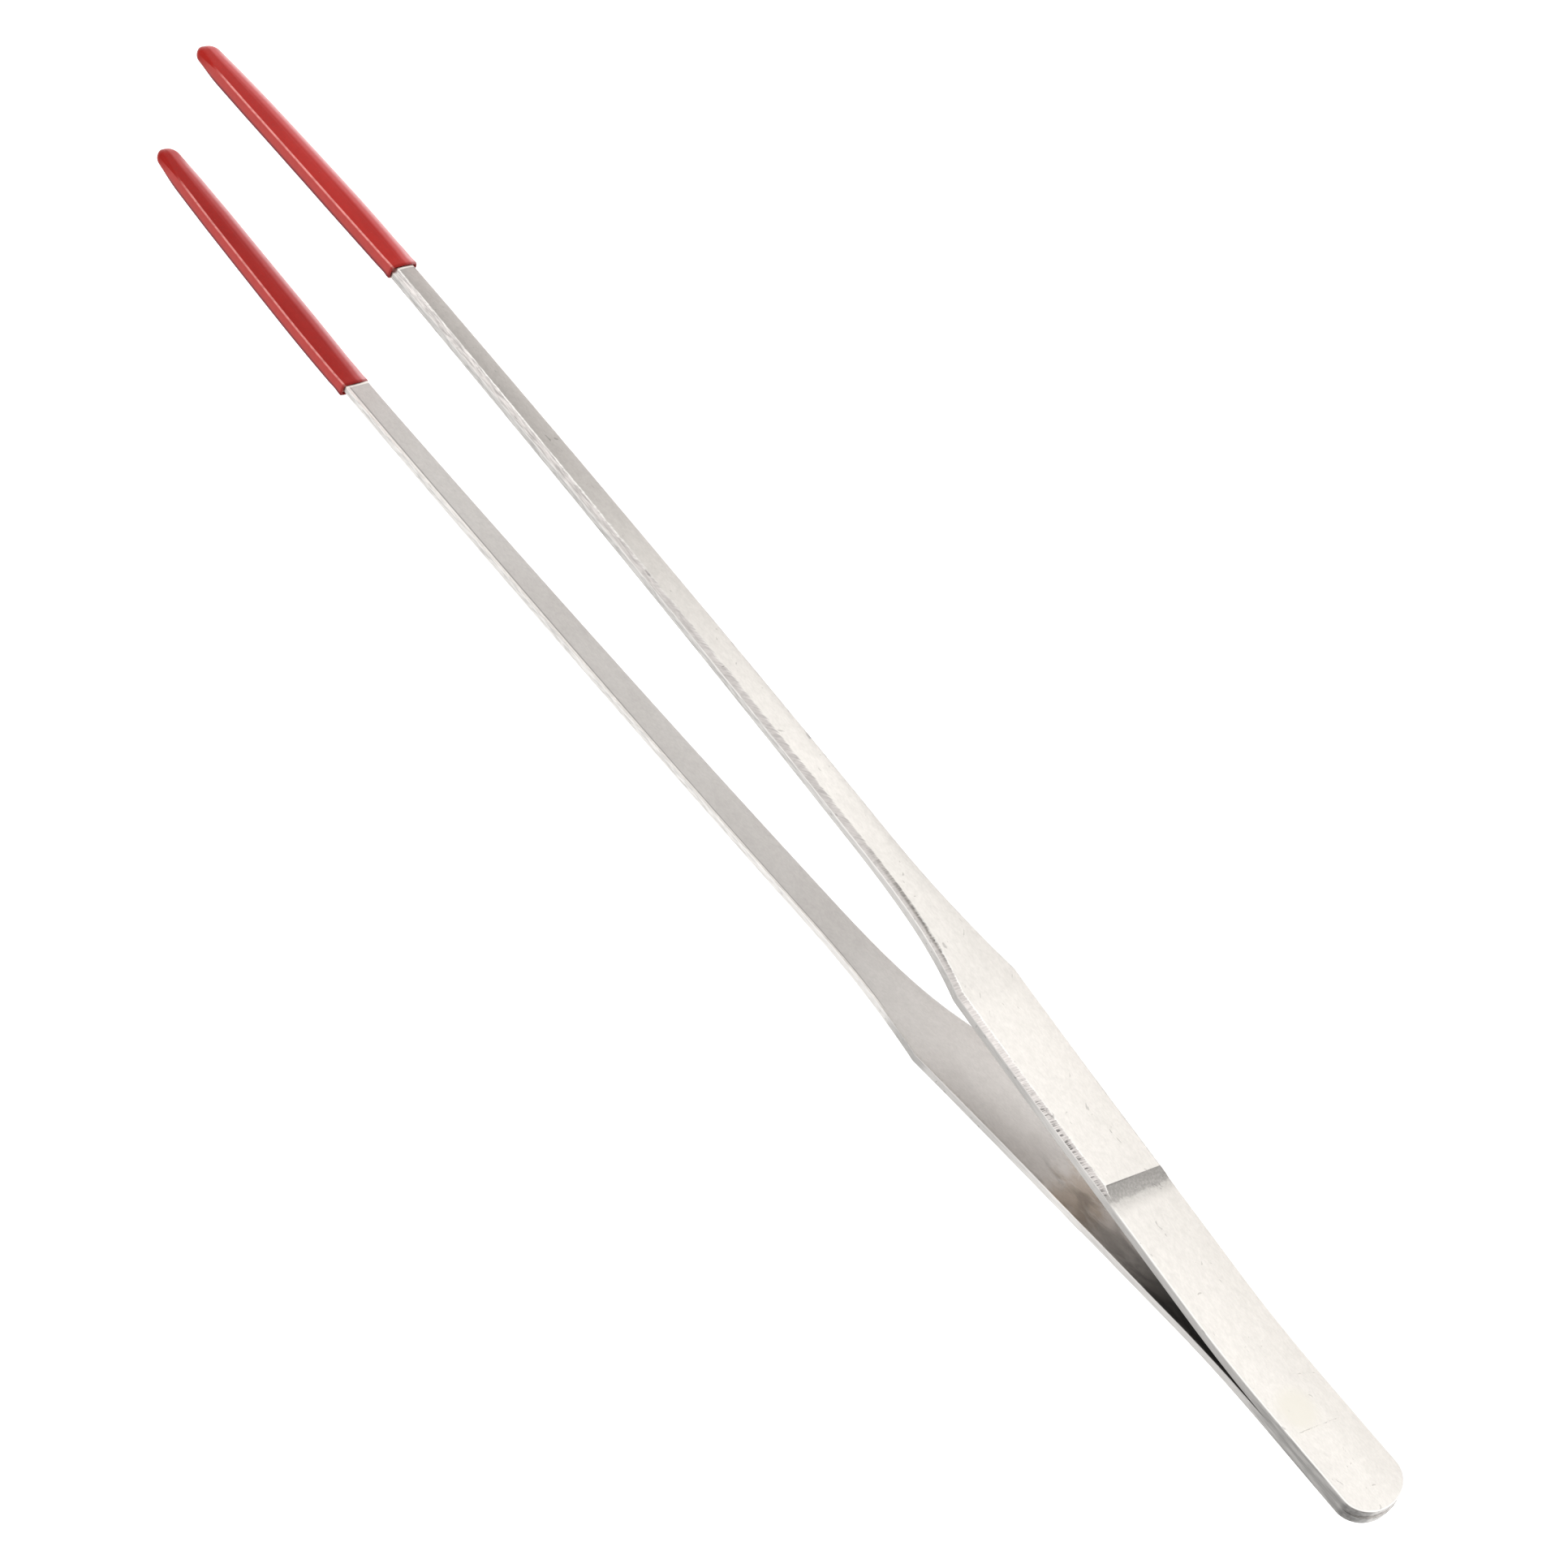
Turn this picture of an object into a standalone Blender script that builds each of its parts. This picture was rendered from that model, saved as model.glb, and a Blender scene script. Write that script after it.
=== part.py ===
"""Long straight tweezers for planting aquariums: two sprung steel arms, spot-welded
together at the heel, each with a dipped soft sleeve over its tip.

Frame, in metres: X runs from the heel to the tips, Y is the direction in which the jaws
open, and Z is the width of the strips, so the tweezers lie on their long narrow edges.
The origin is under the middle of the box that holds them, at the height they rest on.
The right arm is on the -Y side and the left arm on the +Y side.

Each arm is one bent strip. Its inner face follows a line of straights and arcs, and a
station is a distance along that line from the heel end.
"""
import math

import bmesh
import bpy
import numpy as np

# Driving dimensions, in metres.
LENGTH = 0.300              # heel end to sleeve tip
STRIP_WIDTH = 0.01275       # Z size of heel, leaf and grip
ARM_THICKNESS = 0.00195     # full strip stock, from the step to the tip
HEEL_THICKNESS = 0.0015     # each welded end
LEAF_THICKNESS = 0.00135    # ground spring leaf, from the heel to the step
FACE_GAP = 0.00005          # between the welded heel faces
SEAM_GAP = 0.0001           # between the fixed and the moving half of a leaf

# Stations along an arm.
HEEL_END_LENGTH = 0.0044    # length of the half-oval heel end
LEAF_FROM = 0.015           # here the heel starts to thin
LEAF_TO = 0.033             # and here it has the leaf's thickness
HINGE_AT = 0.038            # middle of the part of the leaf that flexes
STEP_AT = 0.0575            # arris where the grinding of the leaf stops
SHOULDER_AT = 0.0924        # corner where the grip starts to narrow
REACH_AT = 0.120            # end of the neck, start of the slender reach
SLEEVE_AT = 0.242           # lip of the dipped sleeve
STEEL_END = 0.2988          # end of the steel inside the sleeve
RIGHT_TIP_TRIM = 0.0012     # the right arm is cut off this much sooner than the left one

# Heading of the inner face away from the X axis, in degrees, reached at each station.
# Straight where it stays the same between two stations, an arc where it changes.
HEADINGS = (
    (0.000, 0.0),
    (0.018, 0.0),           # end of the weld
    (0.038, 5.8),           # leaf bent open
    (0.066, 5.6),           # nearly straight through the step
    (0.094, 6.6),           # grip
    (0.106, 3.1),           # turned back at the neck
    (0.165, 1.8),           # reach slightly bowed
    (0.232, 0.9),
    (0.256, -1.2),          # tips turn in towards each other
    (0.300, -2.3),
)

# Width along an arm, in metres.
NECK_WIDTH = 0.0066         # at the end of the neck
LIP_WIDTH = 0.00465         # at the lip of the sleeve
TIP_WIDTH = 0.0035          # at the tip
NECK_SLOPE = -0.54          # how fast the width shrinks just after the shoulder

# Edges, step and sleeve, in metres.
ARM_BEVEL = 0.0007          # ground bevel on the outer long edges
LEAF_BEVEL = 0.0002
SCOOP_RADIUS = 0.0045       # hollow left by the wheel in front of the step
SLEEVE_WALL = 0.0003
SLEEVE_CLEARANCE = 0.00005
SLEEVE_EDGE = 0.0006        # rounding of the sleeve's long edges
TIP_ROUND = 0.0021          # length of the sleeve's round end
# The vinyl is thicker along the sleeve's narrow sides, in (station, extra), and hangs a little low.
SLEEVE_SWELL = ((0.242, 0.0001), (0.245, 0.00028), (0.252, 0.00047), (0.258, 0.00056),
                (0.283, 0.00056), (0.292, 0.0004), (0.300, 0.0003))
SLEEVE_HANG = 0.22          # part of the extra by which the section's middle drops

# Spot weld at the heel.
WELD_AT = 0.018
WELD_OFFSET_Z = 0.0019      # towards the upper edge
WELD_RADIUS = 0.0023
WELD_THICKNESS = 0.0006

RIGHT, LEFT = -1, 1
MID_Z = STRIP_WIDTH / 2


def inner_line():
    """Stations, positions along X and Y, and headings along an arm's inner face."""
    stations = np.linspace(0, LENGTH + 0.002, 3021)
    keys, degrees = zip(*HEADINGS)
    heading = np.radians(np.interp(stations, keys, degrees))
    step = stations[1] - stations[0]
    middle = (heading[1:] + heading[:-1]) / 2
    along = np.concatenate([[0], np.cumsum(np.cos(middle) * step)])
    out = np.concatenate([[0], np.cumsum(np.sin(middle) * step)])
    return stations, along, out, heading


STATIONS, ALONG, OUT, HEADING = inner_line()
SLEEVE_END = float(np.interp(LENGTH, ALONG, STATIONS))


def place(station, depth, z, side):
    """A point at a station, at a depth measured outwards from the inner face."""
    heading = np.interp(station, STATIONS, HEADING)
    x = np.interp(station, STATIONS, ALONG) - depth * math.sin(heading)
    y = np.interp(station, STATIONS, OUT) + depth * math.cos(heading) + FACE_GAP / 2
    return (x - LENGTH / 2, side * y, MID_Z + z)


def hermite(start, end, start_slope, end_slope, length, t):
    """Smooth curve between two values with given slopes, for t from 0 to 1."""
    return ((2 * t**3 - 3 * t**2 + 1) * start + (t**3 - 2 * t**2 + t) * length * start_slope
            + (3 * t**2 - 2 * t**3) * end + (t**3 - t**2) * length * end_slope)


def strip_width(station):
    """Width of the steel strip at a station past the heel end."""
    reach_slope = (LIP_WIDTH - NECK_WIDTH) / (SLEEVE_AT - REACH_AT)
    if station <= SHOULDER_AT:
        return STRIP_WIDTH
    if station <= REACH_AT:
        length = REACH_AT - SHOULDER_AT
        t = (station - SHOULDER_AT) / length
        return hermite(STRIP_WIDTH, NECK_WIDTH, NECK_SLOPE, reach_slope, length, t)
    return float(np.interp(station, (REACH_AT, SLEEVE_AT, LENGTH), (NECK_WIDTH, LIP_WIDTH, TIP_WIDTH)))


def scoop_start():
    """Station where the hollow in front of the step leaves the leaf's flat face."""
    rise = ARM_THICKNESS - LEAF_THICKNESS
    return STEP_AT - math.sqrt(2 * SCOOP_RADIUS * rise - rise**2)


def tip_trim(side):
    return RIGHT_TIP_TRIM if side == RIGHT else 0


def thickness(station):
    """Thickness of the strip: heel, thin leaf, a round scoop up to the step, the full strip."""
    if station <= scoop_start():
        return float(np.interp(station, (LEAF_FROM, LEAF_TO), (HEEL_THICKNESS, LEAF_THICKNESS)))
    if station < STEP_AT:
        run = station - scoop_start()
        return LEAF_THICKNESS + SCOOP_RADIUS - math.sqrt(SCOOP_RADIUS**2 - run**2)
    return ARM_THICKNESS


def bevel_size(station):
    """Both legs of the bevel. Its plane runs out where the scoop gets below it."""
    return max(LEAF_BEVEL, ARM_BEVEL - (ARM_THICKNESS - thickness(station)))


def steel_section(station, half_width):
    """Outline (depth, z) of the strip: flat inner face, bevelled outer face."""
    full = thickness(station)
    bevel = min(bevel_size(station), half_width * 0.6)
    return [(0, -half_width), (0, half_width), (full - bevel, half_width),
            (full, half_width - bevel), (full, bevel - half_width), (full - bevel, -half_width)]


def skin(name, rings, material, smooth_angle=None):
    """Closed solid through a row of rings with equal numbers of points."""
    mesh = bpy.data.meshes.new(name)
    bm = bmesh.new()
    rows = [[bm.verts.new(point) for point in ring] for ring in rings]
    count = len(rows[0])
    for row, following in zip(rows, rows[1:]):
        for i in range(count):
            j = (i + 1) % count
            bm.faces.new((row[i], row[j], following[j], following[i]))
    bm.faces.new(rows[0])
    bm.faces.new(rows[-1])
    bmesh.ops.recalc_face_normals(bm, faces=bm.faces)
    bm.to_mesh(mesh)
    bm.free()
    mesh.materials.append(material)
    if smooth_angle:
        mesh.shade_smooth()
        mesh.set_sharp_from_angle(angle=math.radians(smooth_angle))
    obj = bpy.data.objects.new(name, mesh)
    bpy.context.collection.objects.link(obj)
    return obj


def hollow_out(obj, cutter):
    """Cut the cutter's shape out of an object, and keep the cutter out of sight."""
    cutter.hide_render = True
    cutter.display_type = "WIRE"
    cut = obj.modifiers.new("pocket", "BOOLEAN")
    cut.operation = "DIFFERENCE"
    cut.solver = "EXACT"
    cut.object = cutter


def spread(start, end, step):
    """Evenly spaced stations from start to end, about one step apart."""
    return list(np.linspace(start, end, max(2, round((end - start) / step) + 1)))


def steel_rings(stations, side):
    return [[place(s, depth, z, side) for depth, z in steel_section(s, strip_width(s) / 2)]
            for s in stations]


def heel_end_rings(side):
    """Rings around the half-oval end of the heel."""
    rings = []
    for degrees in (12, 24, 36, 48, 60, 75):
        angle = math.radians(degrees)
        station = HEEL_END_LENGTH * (1 - math.cos(angle))
        half_width = STRIP_WIDTH / 2 * math.sin(angle)
        rings.append([place(station, depth, z, side)
                      for depth, z in steel_section(station, half_width)])
    return rings


def heel_leaf(name, side, material):
    """Fixed half of an arm's leaf, with a shallow pocket for its half of the weld."""
    stations = spread(HEEL_END_LENGTH, HINGE_AT - SEAM_GAP / 2, 0.002)
    leaf = skin(name, heel_end_rings(side) + steel_rings(stations, side), material)
    radius, height = WELD_RADIUS + FACE_GAP, WELD_THICKNESS + 2 * FACE_GAP
    hollow_out(leaf, disc(name + "_pocket", radius, height, material))
    return leaf


def disc(name, radius, height, material):
    """Round disc between the two heel faces, with its axis along Y."""
    mesh = bpy.data.meshes.new(name)
    bm = bmesh.new()
    bmesh.ops.create_cone(bm, cap_ends=True, segments=32, radius1=radius, radius2=radius,
                          depth=height)
    bm.to_mesh(mesh)
    bm.free()
    mesh.materials.append(material)
    obj = bpy.data.objects.new(name, mesh)
    obj.location = (WELD_AT - LENGTH / 2, 0, MID_Z + WELD_OFFSET_Z)
    obj.rotation_euler = (math.pi / 2, 0, 0)
    bpy.context.collection.objects.link(obj)
    return obj


def hinge_point(side):
    """Middle of the leaf's thickness at the hinge station, at rest height."""
    x, y, _ = place(HINGE_AT, LEAF_THICKNESS / 2, 0, side)
    return (x, y, 0)


def pivot_empty(name, side):
    """Empty on the flexure's axis, the parent of everything that moves with the arm."""
    empty = bpy.data.objects.new(name, None)
    empty.location = hinge_point(side)
    bpy.context.collection.objects.link(empty)
    return empty


def hang_on(obj, parent):
    obj.parent = parent
    obj.matrix_parent_inverse = parent.matrix_basis.inverted()


def moving_arm(name, side, material):
    """Rest of the strip: outer half of the leaf, step, grip, neck, reach and tip."""
    scoop = spread(scoop_start(), STEP_AT, 0.0006)
    stations = (spread(HINGE_AT + SEAM_GAP / 2, scoop_start() - 0.0004, 0.003) + scoop
                + spread(STEP_AT + 0.0002, SHOULDER_AT, 0.006)
                + spread(SHOULDER_AT + 0.001, REACH_AT, 0.0015)
                + spread(REACH_AT + 0.005, STEEL_END - tip_trim(side), 0.005))
    return skin(name, steel_rings(stations, side), material)


def sleeve_section(station):
    """Rounded outline (depth, z) around the steel: a sleeve wall, and more along the narrow sides."""
    swell = float(np.interp(station, *np.array(SLEEVE_SWELL).T))
    top = strip_width(station) / 2 + SLEEVE_WALL + swell - SLEEVE_EDGE
    low = SLEEVE_EDGE - SLEEVE_WALL
    high = ARM_THICKNESS + SLEEVE_WALL - SLEEVE_EDGE
    points = []
    for quarter, (depth, z) in enumerate(((high, top), (low, top), (low, -top), (high, -top))):
        for part in range(4):
            angle = math.radians(90 * quarter + 30 * part)
            points.append((depth + SLEEVE_EDGE * math.cos(angle),
                           z + SLEEVE_EDGE * math.sin(angle) - SLEEVE_HANG * swell))
    return points


def sleeve_core_section(station):
    """Outline (depth, z) of the sleeve's pocket, which clears the bevelled steel."""
    half_width = strip_width(station) / 2 + SLEEVE_CLEARANCE
    low, high = -SLEEVE_CLEARANCE, ARM_THICKNESS + SLEEVE_CLEARANCE
    return [(low, -half_width), (low, half_width), (high - ARM_BEVEL, half_width),
            (high, half_width - ARM_BEVEL), (high, ARM_BEVEL - half_width),
            (high - ARM_BEVEL, -half_width)]


def rounded_tip_rings(side):
    """Rings that close the sleeve: a half-round end, also drawn in a little in thickness."""
    rings = []
    middle = ARM_THICKNESS / 2
    for degrees in (20, 40, 60, 78):
        angle = math.radians(degrees)
        station = SLEEVE_END - tip_trim(side) - TIP_ROUND * (1 - math.sin(angle))
        across = math.cos(angle)
        through = 0.45 + 0.55 * across
        rings.append([place(station, middle + (depth - middle) * through, z * across, side)
                      for depth, z in sleeve_section(station)])
    return rings


def tip_sleeve(name, side, material):
    """Dipped sleeve: a rounded skin with a pocket that the steel tip fills."""
    outer = [[place(s, depth, z, side) for depth, z in sleeve_section(s)]
             for s in spread(SLEEVE_AT, SLEEVE_END - tip_trim(side) - TIP_ROUND, 0.004)]
    sleeve = skin(name, outer + rounded_tip_rings(side), material, smooth_angle=40)
    core_end = STEEL_END - tip_trim(side) + SLEEVE_CLEARANCE
    inner = [[place(s, depth, z, side) for depth, z in sleeve_core_section(s)]
             for s in spread(SLEEVE_AT - 0.001, core_end, 0.004)]
    hollow_out(sleeve, skin(name + "_pocket", inner, material))
    return sleeve


def principled(name, colour, roughness, metallic):
    material = bpy.data.materials.new(name)
    material.use_nodes = True
    shader = material.node_tree.nodes["Principled BSDF"]
    shader.inputs["Base Color"].default_value = (*colour, 1)
    shader.inputs["Roughness"].default_value = roughness
    shader.inputs["Metallic"].default_value = metallic
    return material


def brushed_steel():
    return principled("brushed_steel", (0.66, 0.65, 0.63), 0.32, 1.0)


def weld_metal():
    return principled("weld_metal", (0.55, 0.50, 0.42), 0.45, 1.0)


def red_vinyl():
    return principled("red_vinyl", (0.48, 0.035, 0.03), 0.38, 0.0)


def build():
    for obj in list(bpy.data.objects):
        bpy.data.objects.remove(obj, do_unlink=True)
    steel, weld, vinyl = brushed_steel(), weld_metal(), red_vinyl()
    disc("spot_weld", WELD_RADIUS, WELD_THICKNESS, weld)
    for word, side in (("right", RIGHT), ("left", LEFT)):
        heel_leaf("heel_leaf_" + word, side, steel)
        pivot = pivot_empty("flexure_" + word, side)
        hang_on(moving_arm("arm_" + word, side, steel), pivot)
        hang_on(tip_sleeve("tip_sleeve_" + word, side, vinyl), pivot)


build()
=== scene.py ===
"""Looks of the aquascaping tweezers: two sprung steel arms welded at the heel, with a
dipped red sleeve on each tip. The steel of each arm is one smooth mesh that bends at the
leaf. A station is a distance along an arm's inner face from the heel end; across is a
distance over the strip's width from its middle; depth goes outwards from the inner face;
inset is a distance inwards from the nearest long edge.
"""
import math

import bmesh
import bpy
import numpy as np
from mathutils import Matrix, Vector


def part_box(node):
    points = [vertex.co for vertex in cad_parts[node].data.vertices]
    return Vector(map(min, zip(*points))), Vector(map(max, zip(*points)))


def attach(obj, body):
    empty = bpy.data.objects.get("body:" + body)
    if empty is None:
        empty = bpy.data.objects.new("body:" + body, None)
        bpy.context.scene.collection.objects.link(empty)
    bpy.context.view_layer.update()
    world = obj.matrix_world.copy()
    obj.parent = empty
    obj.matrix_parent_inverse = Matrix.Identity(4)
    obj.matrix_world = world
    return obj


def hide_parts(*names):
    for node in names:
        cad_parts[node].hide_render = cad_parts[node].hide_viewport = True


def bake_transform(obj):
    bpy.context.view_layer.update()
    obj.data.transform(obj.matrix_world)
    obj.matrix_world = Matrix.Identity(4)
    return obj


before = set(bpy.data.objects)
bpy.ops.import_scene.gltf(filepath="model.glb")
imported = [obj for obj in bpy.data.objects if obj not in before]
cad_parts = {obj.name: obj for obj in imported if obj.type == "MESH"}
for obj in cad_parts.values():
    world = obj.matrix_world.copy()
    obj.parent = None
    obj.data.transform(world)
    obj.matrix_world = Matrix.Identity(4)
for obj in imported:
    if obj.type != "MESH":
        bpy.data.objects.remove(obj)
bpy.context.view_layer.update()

MM = 0.001
HEEL_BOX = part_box("heel_leaf_right")
HEEL_X = HEEL_BOX[0][0]
STRIP_WIDTH = HEEL_BOX[1][2] - HEEL_BOX[0][2]
MID_Z = (HEEL_BOX[1][2] + HEEL_BOX[0][2]) / 2
FACE_GAP = 0.05 * MM
RIGHT, LEFT = -1, 1                         # side of an arm, along Y

# Shape of an arm, as in the CAD model.
ARM_LENGTH = 300 * MM
ARM_THICKNESS = 1.95 * MM
HEEL_THICKNESS = 1.5 * MM
LEAF_THICKNESS = 1.35 * MM
LEAF_FROM, LEAF_TO = 15 * MM, 33 * MM       # the heel thins to the leaf between these
HEEL_END_LENGTH = 4.4 * MM
STEP_AT = 57.5 * MM
SHOULDER_AT = 92.4 * MM
REACH_AT = 120 * MM
SLEEVE_AT = 242 * MM
STEEL_END = 296.5 * MM                      # of the steel that the sleeve hides
HEADINGS = ((0, 0.0), (18, 0.0), (38, 5.8), (66, 5.6), (94, 6.6), (106, 3.1), (165, 1.8),
            (232, 0.9), (256, -1.2), (300, -2.3))       # (station in mm, degrees)
NECK_WIDTH, LIP_WIDTH, TIP_WIDTH = 6.6 * MM, 4.65 * MM, 3.5 * MM
NECK_SLOPE = -0.54
ARM_BEVEL = 0.7 * MM
LEAF_BEVEL = 0.2 * MM
SCOOP_RADIUS = 4.5 * MM
STEP_SKEW = 0.128                           # the arris crosses the strip at a slight angle
SKEW_REACH = 9 * MM
HEEL_TRIM = 0.25 * MM                       # the right arm's heel end is ground this much shorter
HEEL_TRIM_RUN = 8 * MM
REACH_CROWN = 0.22 * MM                     # the slender part's outer face is a little domed
CROWN_FROM, CROWN_RUN = 96 * MM, 24 * MM
INNER_ROUND, INNER_ROUND_HEEL = 0.25 * MM, 0.01 * MM    # rounding of the inner long edges
INNER_ROUND_FROM, INNER_ROUND_RUN = 17 * MM, 25 * MM
OUTER_ROUNDS = 0.22 * MM, 0.25 * MM         # at the bevel's two corners
FACE_MARGIN, OUTER_MARGIN = 0.7 * MM, 0.45 * MM     # flat strips beside the long edges
HIDDEN_SHRINK = 0.3                         # the steel is this much slimmer inside the sleeve
SINK_FROM, SINK_RUN = 0.6 * MM, 2 * MM      # past the lip
CLOSED_TO, CLOSED_RUN = 23 * MM, 5 * MM     # the heel faces meet, and part over a run up to here
INNER_SKIN = 0.1 * MM                       # points shallower than this are on the inner face
OUTER_PART = 0.45                           # points past this part of the depth look like outside

# Resolution of the steel's mesh.
LINE_END, LINE_POINTS = 0.302, 3021         # the inner line has a point every 0.1 mm
HEEL_ARC_STEPS = 15
# Spacing of the strip's sections past the heel end: (from, to, spacing) in mm.
SECTION_SPANS = ((4.4, 53.5, 1.2), (53.5, 57.44, 0.2), (57.5, 58.5, 0.25), (58.5, 91.4, 1.2),
                 (91.4, 94, 0.3), (94, 122, 0.8), (122, 298.8, 1.6))
INNER_COLUMNS, OUTER_COLUMNS = 8, 14        # faces over the strip's width
SLOPE_REACH = 0.2 * MM                      # over which the outline's slope is taken
FILLET_SEGMENTS, FILLET_REACH, FILLET_LIMIT = 4, 0.6, 0.45
STEEL_CREASE, SLEEVE_CREASE = 28, 50        # degrees from which an edge is sharp

# Dipped sleeve.
SLEEVE_SKIN = 0.25 * MM
SLEEVE_EDGE = 0.30 * MM                     # rounding of the upper edges
SLEEVE_FAR_EDGE = 1.25 * MM                 # the dip ran down and left the lower edges rounder
SLEEVE_LIP_EDGE = 0.4 * MM                  # of the lower edges at the lip
UPPER_DROP, LOWER_DROP = 0.12 * MM, 0.35 * MM       # how far the domed faces fall at the edges
DOME_POWER = 2.2
EDGE_TAKE = 0.9                             # largest part of the height that a rounding takes
ROUND_END_RUN, ROUND_END_TAKE = 8 * MM, 0.55        # the upper edges get rounder towards the end
LIP_RUN = 7 * MM                            # and the lower ones past the lip
TIP_ROUND = 2.2 * MM
TIP_CLEARANCE = 0.05 * MM                   # left between the tip and the CAD model's end
# The vinyl is thicker along the narrow sides and hangs a little low: (station, extra) in mm.
SLEEVE_SWELL = ((242, 0.10), (245, 0.28), (252, 0.47), (258, 0.56), (283, 0.56), (292, 0.40),
                (300, 0.08))
SLEEVE_HANG = 0.22                          # part of the extra by which the middle drops
# The lip's profile: (mm past the lip, mm outwards).
LIP_PROFILE = ((0.42, -0.30), (0.10, -0.20), (0.0, -0.11), (0.02, -0.03), (0.12, 0.03),
               (0.35, 0.05), (0.70, 0.04), (1.3, -0.01), (2.2, -0.02), (3.2, 0.0))
LIP_LENGTH, SLEEVE_SPACING = 4 * MM, 1.5 * MM
FACE_STEPS, EDGE_STEPS = 8, 7               # of a quarter of the section
END_STEP = 8                                # degrees of the round end

WELD_AT, WELD_ACROSS = 18 * MM, 1.9 * MM
# Scratches on the right arm's outer face: ends as (station, across) in mm.
SCRATCHES = (((13.8, -3.4), (15.3, 4.8)), ((20.7, -5.6), (22.6, -1.1)), ((93.2, 3.3), (92.0, 3.9)),
             ((91.5, 2.8), (90.4, 3.5)), ((88.4, 3.4), (87.2, 4.1)), ((91.7, -4.7), (90.5, -3.7)),
             ((75.1, -2.4), (74.0, -1.5)), ((100.9, -2.3), (99.6, -1.0)))


def inner_line():
    """Stations, positions along X and Y, and headings along an arm's inner face."""
    stations = np.linspace(0, LINE_END, LINE_POINTS)
    keys = np.array([key for key, _ in HEADINGS]) * MM
    heading = np.radians(np.interp(stations, keys, [degrees for _, degrees in HEADINGS]))
    step = stations[1] - stations[0]
    middle = (heading[1:] + heading[:-1]) / 2
    along = np.concatenate([[0], np.cumsum(np.cos(middle) * step)])
    out = np.concatenate([[0], np.cumsum(np.sin(middle) * step)])
    return stations, along, out, heading


STATIONS, ALONG, OUT, HEADING = inner_line()


def sleeve_end(side):
    """Station at which an arm's sleeve ends, one arm being a little shorter."""
    tip_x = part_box("tip_sleeve_right" if side == RIGHT else "tip_sleeve_left")[1][0]
    return float(np.interp(tip_x - HEEL_X, ALONG, STATIONS)) - TIP_CLEARANCE


def smooth(t):
    """Smooth step from 0 to 1."""
    t = min(max(t, 0.0), 1.0)
    return t * t * (3 - 2 * t)


def place(station, across, depth, side):
    """World position of a point of an arm."""
    skew = STEP_SKEW * smooth(1 - abs(station - STEP_AT) / SKEW_REACH)
    at = station + skew * across
    heading = np.interp(at, STATIONS, HEADING)
    x = HEEL_X + np.interp(at, STATIONS, ALONG) - depth * math.sin(heading)
    y = np.interp(at, STATIONS, OUT) + depth * math.cos(heading) + FACE_GAP / 2
    return (x, side * y, MID_Z + across)


def half_width(station):
    """Half the width of the steel strip past the heel end."""
    reach_slope = (LIP_WIDTH - NECK_WIDTH) / (SLEEVE_AT - REACH_AT)
    if station <= SHOULDER_AT:
        return STRIP_WIDTH / 2
    if station <= REACH_AT:
        run = REACH_AT - SHOULDER_AT
        t = (station - SHOULDER_AT) / run
        width = ((2 * t**3 - 3 * t**2 + 1) * STRIP_WIDTH + (t**3 - 2 * t**2 + t) * run * NECK_SLOPE
                 + (3 * t**2 - 2 * t**3) * NECK_WIDTH + (t**3 - t**2) * run * reach_slope)
        return width / 2
    keys, widths = (REACH_AT, SLEEVE_AT, ARM_LENGTH), (NECK_WIDTH, LIP_WIDTH, TIP_WIDTH)
    return float(np.interp(station, keys, widths)) / 2


def thickness(station):
    """Strip thickness: heel, thin leaf, round scoop up to the step, then the full strip."""
    leaf = float(np.interp(station, (LEAF_FROM, LEAF_TO), (HEEL_THICKNESS, LEAF_THICKNESS)))
    rise = ARM_THICKNESS - leaf
    scoop_start = STEP_AT - math.sqrt(2 * SCOOP_RADIUS * rise - rise**2)
    if station <= scoop_start:
        return leaf
    if station < STEP_AT:
        run = station - scoop_start
        return leaf + SCOOP_RADIUS - math.sqrt(SCOOP_RADIUS**2 - run**2)
    return ARM_THICKNESS


def bevel(station):
    """The bevel plane runs out where the scoop gets below it."""
    return max(LEAF_BEVEL, ARM_BEVEL - (ARM_THICKNESS - thickness(station)))


def hidden(station):
    """How far the steel is inside the sleeve, where it stays clear of the skin."""
    return smooth((station - SLEEVE_AT - SINK_FROM) / SINK_RUN)


def crown(station):
    """Height of the outer face's dome."""
    return REACH_CROWN * smooth((station - CROWN_FROM) / CROWN_RUN)


def fillet(points, radii):
    """Polyline with its inner corners rounded, always with the same number of points."""
    result = [points[0]]
    for before, corner, after, radius in zip(points, points[1:], points[2:], radii):
        c = np.array(corner)
        a, b = np.array(before) - c, np.array(after) - c
        length_a, length_b = np.linalg.norm(a), np.linalg.norm(b)
        reach = min(radius * FILLET_REACH, FILLET_LIMIT * length_a, FILLET_LIMIT * length_b)
        start, end = c + a / length_a * reach, c + b / length_b * reach
        for k in range(FILLET_SEGMENTS + 1):
            t = k / FILLET_SEGMENTS
            result.append(tuple((1 - t)**2 * start + 2 * t * (1 - t) * c + t * t * end))
    result.append(points[-1])
    return result


def edge_profile(station):
    """(inset, depth) from the inner face round the long edge to the outer face."""
    full, cut = thickness(station), bevel(station)
    grown = smooth((station - INNER_ROUND_FROM) / INNER_ROUND_RUN)
    inner_round = INNER_ROUND_HEEL + (INNER_ROUND - INNER_ROUND_HEEL) * grown
    corners = [(FACE_MARGIN, 0), (0, 0), (0, full - cut), (cut, full), (cut + OUTER_MARGIN, full)]
    return fillet(corners, (inner_round, *OUTER_ROUNDS))


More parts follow.
